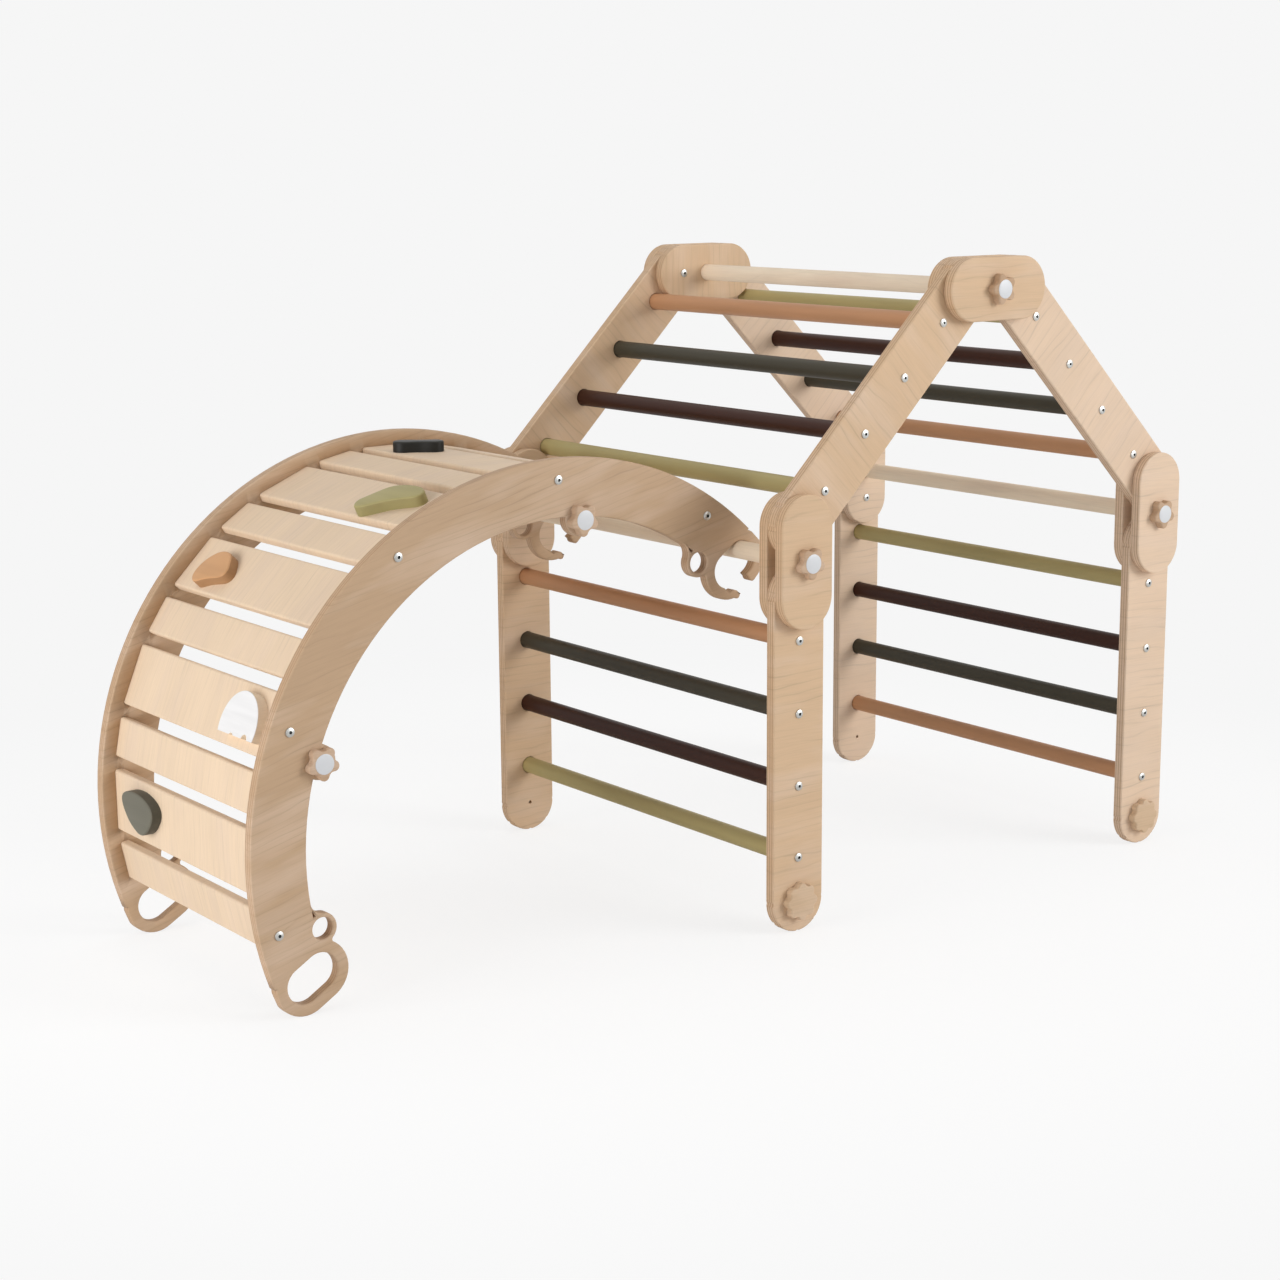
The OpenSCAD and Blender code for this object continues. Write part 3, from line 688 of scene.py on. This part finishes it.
class CLIMB_OT_screws(bpy.types.Operator):
    """Build the screws with their rounded heads and hexagon sockets."""
    bl_idname = "climb.screws"
    bl_label = "Screws"

    def execute(self, context):
        looks = context.scene.climb_fittings
        steel = zinc_steel("Steel_zinc_plated", looks.steel)
        # Painted shade: a dark, rougher steel on the sockets' faces stands in for the shade
        # inside them
        dark = zinc_steel("Steel_zinc_painted_shade_in_sockets", looks.socket, 0.5)
        ends = ("_bolts", "_pivots", "_screws")
        for node in sorted(n for n in frame["nodes"] if n.endswith(ends)):
            source = joined(node)
            bm = bmesh.new()
            for part in loose_parts(source):
                append_mesh(bm, self.screw(part, looks.hex_radius))
            source.free()
            stand_in(finish_mesh(bm, node + "_socket_heads", [steel, dark]), node)
        return {"FINISHED"}

    def screw(self, part, hex_radius, steps=6):
        """One screw on the axis, head and reach of a plain one."""
        axis = box_middle(part)
        away = around_axis(part, axis)
        head_r = max(away)
        rim = [p.y for p, r in zip(part, away) if r > head_r * 0.98]
        shank = [p.y for p, r in zip(part, away) if r < head_r * 0.6]
        ys = [p.y for p in part]
        side = 1 if sum(rim) / len(rim) > (min(ys) + max(ys)) / 2 else -1
        seat = min(rim, key=lambda y: y * side)
        reach = abs(min(shank, key=lambda y: y * side) - seat)
        rise = abs(max(ys, key=lambda y: y * side) - seat)
        flank = rise * 0.55            # the head's upright part, and the rest is its dome
        profile = [(SHANK_R - TIP, -reach), (SHANK_R, -reach + TIP), (SHANK_R, -TOUCH),
                   (head_r - 0.3 * MM, 0), (head_r, 0.3 * MM), (head_r, flank - 0.5 * MM)]
        dome_r, mouth_r = head_r - 0.25 * MM, hex_radius * 1.15 - 0.25 * MM
        for i in range(steps + 1):
            r = dome_r + (mouth_r - dome_r) * i / steps
            profile.append((r, flank + (rise - flank) * (1 - (r / head_r) ** 2)))
        bm = turned(profile, 36, hex_radius)
        place_on_axis(bm, Vector((axis.x, seat, axis.z)), side)
        return bm


# The knobs' lobes: how many, their reach as a share of the solid knob's, and their radius
FOOT_LOBES = (8, 1.0, 7.5 * MM)
STAR_LOBES = (5, 0.94, 7.6 * MM)


class CLIMB_OT_knobs(bpy.types.Operator):
    """Build the star knobs with their caps and studs, and the scalloped foot knobs."""
    bl_idname = "climb.knobs"
    bl_label = "Knobs"

    def execute(self, context):
        looks = context.scene.climb_fittings
        wood = context.scene.climb_wood
        # Beech, routed to shape, sanded and oiled: a warm tan with short, quiet grain
        foot = solid_wood("Beech_oiled_foot_knobs", wood, 31, wood.knob, sheet_point, 0.5, 1.2)
        star = solid_wood("Beech_oiled_star_knobs", wood, 32, wood.star, sheet_point, 0.5, 1.2)
        cap = cap_plastic(looks.cap)
        steel = zinc_steel("Steel_zinc_plated_studs", looks.steel)
        for node in sorted(n for n in frame["nodes"] if "_knob_" in n):
            if "_foot_" in node:
                self.knob(node, looks, FOOT_LOBES, foot, steel)
            else:
                axis, front, side = self.knob(node, looks, STAR_LOBES, star, steel)
                self.cap(node, looks, cap, Vector((axis.x, front * side, axis.z)), side)
        return {"FINISHED"}

    def knob(self, node, looks, lobes, wood, steel):
        """A knob's wood and stud. Returns its axis, its front and its side of the frame."""
        side = -1 if node.endswith("_near") else 1
        points = [v.co for v in frame["nodes"][node].data.vertices]
        tip = min(p.y * side for p in points)
        axis = box_middle([p for p in points if p.y * side < tip + 0.01 * MM])
        away = around_axis(points, axis)
        outer = max(away)
        lobe = points[away.index(outer)]
        seat = min(p.y * side for p, r in zip(points, away) if r > outer * 0.8)
        turn = math.atan2(lobe.z - axis.z, lobe.x - axis.x) * -side
        at = Vector((axis.x, seat * side, axis.z))
        count, share, lobe_r = lobes
        body = slab_from(lobed(count, outer * share, lobe_r, 1.5 * MM), looks.knob_height,
                         looks.knob_ease, 5)
        place_on_axis(body, at, side, turn)
        stand_in(finish_mesh(body, node + "_body", [wood]), node)
        reach = seat - tip
        stud = turned([(SHANK_R - TIP, -reach), (SHANK_R, TIP - reach), (SHANK_R, 0.5 * MM),
                       (SHANK_R - 0.7 * MM, 1 * MM)], 20)
        place_on_axis(stud, at, side)
        stand_in(finish_mesh(stud, node + "_stud", [steel]), node, False)
        return axis, seat + looks.knob_height, side

    def cap(self, node, looks, made, at, side, steps=9):
        """A knob's round cap: a short rim with an eased corner under a low dome."""
        rise, r = looks.cap_rise, looks.cap_radius
        rim, flat_r = rise * 0.35, r - 0.45 * MM
        profile = [(r - 0.2 * MM, -0.4 * MM), (r, -0.2 * MM), (r, rim - 0.4 * MM),
                   (r - 0.12 * MM, rim - 0.12 * MM), (flat_r, rim)]
        for i in range(1, steps):
            dome_r = flat_r * (1 - i / steps)
            profile.append((dome_r, rim + (rise - rim) * (1 - (dome_r / r) ** 2)))
        dome = turned(profile, 48)
        place_on_axis(dome, at, side)
        stand_in(finish_mesh(dome, node + "_cap", [made]), node, False)


class CLIMB_OT_grips(bpy.types.Operator):
    """Build the climbing grips with rounded edges and paint them."""
    bl_idname = "climb.grips"
    bl_label = "Grips"

    def execute(self, context):
        paint = context.scene.climb_paint
        wood = context.scene.climb_wood
        looks = context.scene.climb_fittings
        # Beech, sanded and left bare: the pale cut side of the white grip
        bare = solid_wood("Beech_sanded_grip_side", wood, 51, wood.beech, sheet_point)
        # Each grip's paint, the share of it kept on its sides as painted shade, its rounding and
        # its finish
        for node, rgb, side_shade_share, rounding, slot in (
                ("grip_grey_drop", paint.grip_grey, 0.65, 1, "slate_paint"),
                ("grip_white_dome", paint.white, None, 0.4, "white_paint"),
                ("grip_peach_drop", paint.grip_peach, 0.8, 1, "peach_paint"),
                ("grip_olive_drop", paint.grip_olive, 1, 1, "olive_paint"),
                ("grip_black_bar", paint.black, 0.7, 1, "black_paint")):
            top, edge = painted_wood("Satin_paint_" + node, rgb), bare
            # Painted shade: a darker copy of the paint on the sides, least dark on the olive
            # grip, which faces the light
            if side_shade_share:
                edge = painted_wood("Satin_paint_painted_shade_side_" + node,
                                    tuple(c * paint.side_shade_share * side_shade_share for c in rgb))
            piece = self.grip(node, looks.grip_ease * rounding, looks.grip_soften, [top, edge])
            stand_in(piece, node)
        return {"FINISHED"}

    def grip(self, node, ease, soften, made):
        """A grip on the CAD one's base, as thick as it is, with a rounded upper edge."""
        source = joined(node)
        centre = arch_centre()
        middle = sum((v.co for v in source.verts), Vector()) / len(source.verts)
        out = Vector((middle.x - centre[0], 0, middle.z - centre[1])).normalized()
        base = max((f for f in source.faces if f.normal.dot(out) < -0.99),
                   key=lambda f: f.calc_area())
        up = -base.normal.copy()
        along = Vector((0, 1, 0))
        aside = along.cross(up).normalized()
        origin = base.calc_center_median()
        turn = Matrix((aside, along, up)).transposed().to_4x4()
        flat = [(turn.to_3x3().transposed() @ (v.co - origin)).to_2d() for v in base.verts]
        if sum(a.x * b.y - b.x * a.y for a, b in zip(flat, flat[1:] + flat[:1])) < 0:
            flat.reverse()
        thick = max((v.co - origin).dot(up) for v in source.verts)
        source.free()
        if node in GRIP_OUTLINES:
            flat = moved_onto([Vector(p) * MM for p in reversed(GRIP_OUTLINES[node])], flat)
            flat = softened(flat, soften)
        bm = slab_from(with_normals(flat), thick, ease, 5, 0, 1)
        bmesh.ops.transform(bm, matrix=Matrix.Translation(origin) @ turn, verts=bm.verts)
        return finish_mesh(bm, node + "_eased", made, 50)


def box_of(points):
    """The lowest and highest corners of a flat outline."""
    return ([min(p[n] for p in points) for n in (0, 1)],
            [max(p[n] for p in points) for n in (0, 1)])


def moved_onto(flat, place):
    """An outline with its middle over the middle of another one."""
    (low, high), (a, b) = box_of(flat), box_of(place)
    shift = (Vector(a) + Vector(b) - Vector(low) - Vector(high)) / 2
    return [p + shift for p in flat]


def softened(flat, reach, count=96):
    """A closed outline with its flats and corners melted together over a reach, drawn out
    again so that it covers the box it covered before."""
    steps = [(b - a).length for a, b in zip(flat, flat[1:] + flat[:1])]
    total = sum(steps)
    points, i, start = [], 0, 0.0
    for k in range(count):
        at = total * k / count
        while start + steps[i] < at:
            start += steps[i]
            i += 1
        points.append(flat[i].lerp(flat[(i + 1) % len(flat)], (at - start) / steps[i]))
    (a, b) = box_of(points)
    for _ in range(round((reach / (total / count)) ** 2)):
        points = [(before + 2 * here + after) / 4 for before, here, after
                  in zip(points[-1:] + points[:-1], points, points[1:] + points[:1])]
    (low, high) = box_of(points)
    return [Vector([a[n] + (p[n] - low[n]) * (b[n] - a[n]) / (high[n] - low[n])
                    for n in (0, 1)]) for p in points]


def with_normals(flat):
    """Pairs each point of a closed outline with its outward normal, longer at corners."""
    pairs = []
    for before, here, after in zip(flat[-1:] + flat[:-1], flat, flat[1:] + flat[:1]):
        runs = ((here - before).normalized(), (after - here).normalized())
        pairs.append((here, mitre([Vector((run.y, -run.x)) for run in runs], 0.5)))
    return pairs


# Outlines of the grips in millimetres, seen from above: x towards the hooks of the arch
# and y towards its far panel
GRIP_OUTLINES = {
    "grip_grey_drop": ((21, 56), (27, 49), (31, 36), (33, 19), (33, 1), (29, -18), (22, -35),
                       (13, -43), (2, -42), (-10, -33), (-20, -23), (-28, -9), (-29, 4),
                       (-24, 17), (-18, 30), (-8, 42), (4, 52), (13, 56)),
    "grip_peach_drop": ((-36, 39), (-31, 44), (-23, 48), (-11, 47), (1, 42), (10, 34), (18, 24),
                        (22, 13), (23, -1), (21, -11), (16, -19), (7, -26), (-3, -35),
                        (-11, -36), (-19, -30), (-23, -15), (-27, 4), (-33, 19), (-38, 29)),
    "grip_olive_drop": ((-39, 43), (-32, 49), (-24, 51), (-14, 46), (-2, 41), (10, 36),
                        (20, 30), (26, 21), (30, 9), (33, -8), (34, -24), (32, -40), (27, -51),
                        (21, -57), (14, -58), (8, -54), (3, -44), (-2, -31), (-8, -18),
                        (-15, -6), (-24, 4), (-33, 15), (-41, 25), (-43, 35)),
    "grip_black_bar": ((0, 9), (21, -2), (27, -12), (24, -23), (14, -29), (3, -26), (-14, -8),
                       (-36, 2), (-42, 13), (-39, 25), (-28, 31), (-16, 28)),
}


CAMERA_AT = Vector((-2.2955, -3.0526, 1.1753))
CAMERA_TURN = (-36.904, 11.503, -0.442)     # azimuth, elevation and roll in degrees
LAMPS_AIM = Vector((0, 0, 0.45))
# Each softbox: its name, place and edge in metres, and its power in watts
LAMPS = (("Left_softbox", (-3.6, -0.2, 0.9), 2.0, 64),
         ("Front_softbox", (4.6, -5.8, 2.7), 3.8, 305),
         ("Front_high_softbox", (1.5, -3.5, 3.2), 2.4, 9),
         ("Top_softbox", (0.2, 0.4, 4.2), 3.2, 42))


class CLIMB_OT_stage(bpy.types.Operator):
    """Set the camera, the soft lights, the world and the floor."""
    bl_idname = "climb.stage"
    bl_label = "Stage"

    def execute(self, context):
        looks = context.scene.climb_stage
        self.camera(context.scene, looks)
        self.floor(looks)
        self.world(context.scene, looks)
        self.lamps(context.scene)
        context.scene.view_settings.view_transform = "Standard"
        return {"FINISHED"}

    def camera(self, scene, looks):
        azimuth, elevation, roll = (math.radians(a) for a in CAMERA_TURN)
        ahead = Vector((-math.sin(azimuth) * math.cos(elevation),
                        math.cos(azimuth) * math.cos(elevation), -math.sin(elevation)))
        right = Vector((math.cos(azimuth), math.sin(azimuth), 0))
        up = right.cross(ahead)
        x = math.cos(roll) * right + math.sin(roll) * up
        y = -math.sin(roll) * right + math.cos(roll) * up
        turn = Matrix((x, y, -ahead)).transposed().to_4x4()
        data = bpy.data.cameras.new("Camera")
        data.lens = looks.lens
        data.sensor_width = 36
        data.clip_end = 50
        camera = bpy.data.objects.new("Camera", data)
        camera.matrix_world = Matrix.Translation(CAMERA_AT) @ turn
        scene.collection.objects.link(camera)
        scene.camera = camera

    def floor(self, looks):
        """A wide floor in matt white paint: pale, even and without gloss. Seen by the camera,
        it takes on the backdrop's even colour away from the object."""
        bm = bmesh.new()
        bmesh.ops.create_grid(bm, x_segments=1, y_segments=1, size=30)
        made, tree, shader = material("Studio_floor_matt_paint")
        fill(tree, shader, {"Base Color": looks.floor, "Roughness": 0.9,
                            "Specular IOR Level": 0.2})
        place = add(tree, "TexCoord").outputs["Object"]
        away = add(tree, "VectorMath", {0: place}, operation="LENGTH").outputs["Value"]
        # The even colour covers three quarters of the floor's own by the object, and all of it
        # from the reach on. It starts brighter, which makes up for the shadow under it.
        even = add(tree, "MapRange", {"Value": away, "From Min": 0.35 * looks.reach,
                                      "From Max": looks.reach, "To Min": 0.75, "To Max": 1.0},
                   interpolation_type="SMOOTHSTEP").outputs[0]
        level = add(tree, "MapRange", {"Value": even, "From Min": 0.75, "From Max": 1.0,
                                       "To Min": 1.13, "To Max": 1.0}).outputs[0]
        seen = add(tree, "LightPath").outputs["Is Camera Ray"]
        share = add(tree, "Math", {0: seen, 1: even}, operation="MULTIPLY").outputs[0]
        glow = add(tree, "Emission", {"Color": looks.floor, "Strength": level})
        mixed = add(tree, "MixShader", {0: share, 1: shader.outputs[0], 2: glow.outputs[0]})
        out = next(n for n in tree.nodes if n.type == "OUTPUT_MATERIAL")
        fill(tree, out, {"Surface": mixed.outputs[0]})
        finish_mesh(bm, "Floor", [made])

    def world(self, scene, looks):
        """An even soft light, behind which the camera and gloss see the backdrop's colour."""
        world = bpy.data.worlds.new("Studio")
        world.use_nodes = True
        tree = world.node_tree
        tree.nodes.clear()
        path = add(tree, "LightPath").outputs
        straight = path["Is Camera Ray"]
        for ray in ("Is Glossy Ray", "Is Transmission Ray"):
            straight = add(tree, "Math", {0: straight, 1: path[ray]},
                           operation="MAXIMUM").outputs[0]
        soft = add(tree, "Background", {"Color": (1, 1, 1), "Strength": looks.ambient})
        seen = add(tree, "Background", {"Color": looks.floor, "Strength": 1.0})
        mixed = add(tree, "MixShader", {0: straight, 1: soft.outputs[0], 2: seen.outputs[0]})
        add(tree, "OutputWorld", {"Surface": mixed.outputs[0]})
        scene.world = world

    def lamps(self, scene):
        for name, place, edge, power in LAMPS:
            data = bpy.data.lights.new(name, "AREA")
            data.shape = "SQUARE"
            data.size = edge
            data.energy = power
            lamp = bpy.data.objects.new(name, data)
            lamp.location = place
            lamp.rotation_mode = "QUATERNION"
            lamp.rotation_quaternion = (LAMPS_AIM - Vector(place)).to_track_quat("-Z", "Y")
            scene.collection.objects.link(lamp)


OPERATORS = (CLIMB_OT_stage, CLIMB_OT_plywood, CLIMB_OT_arch, CLIMB_OT_rungs,
             CLIMB_OT_screws, CLIMB_OT_knobs, CLIMB_OT_grips)


class CLIMB_PT_panel(bpy.types.Panel):
    """Sizes, colours and building steps of the climbing frame."""
    bl_idname = "CLIMB_PT_panel"
    bl_label = "Climbing Frame"
    bl_space_type = "VIEW_3D"
    bl_region_type = "UI"
    bl_category = "Climbing Frame"

    def draw(self, context):
        for name, _ in GROUPS:
            group = getattr(context.scene, name)
            box = self.layout.box()
            for key in group.bl_rna.properties.keys():
                if key not in ("rna_type", "name"):
                    box.prop(group, key)
        for one in OPERATORS:
            self.layout.operator(one.bl_idname)


GROUPS = (("climb_wood", WoodLooks), ("climb_paint", PaintLooks),
          ("climb_fittings", FittingLooks), ("climb_stage", StageLooks))


def register():
    for one in (*(g for _, g in GROUPS), *OPERATORS, CLIMB_PT_panel):
        bpy.utils.register_class(one)
    for name, group in GROUPS:
        setattr(bpy.types.Scene, name, PointerProperty(type=group))


def unregister():
    for name, _ in GROUPS:
        delattr(bpy.types.Scene, name)
    for one in (CLIMB_PT_panel, *reversed(OPERATORS), *(g for _, g in reversed(GROUPS))):
        bpy.utils.unregister_class(one)


def main():
    register()
    for one in OPERATORS:
        family, name = one.bl_idname.split(".")
        getattr(getattr(bpy.ops, family), name)()
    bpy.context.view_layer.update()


if __name__ == "__main__":
    main()
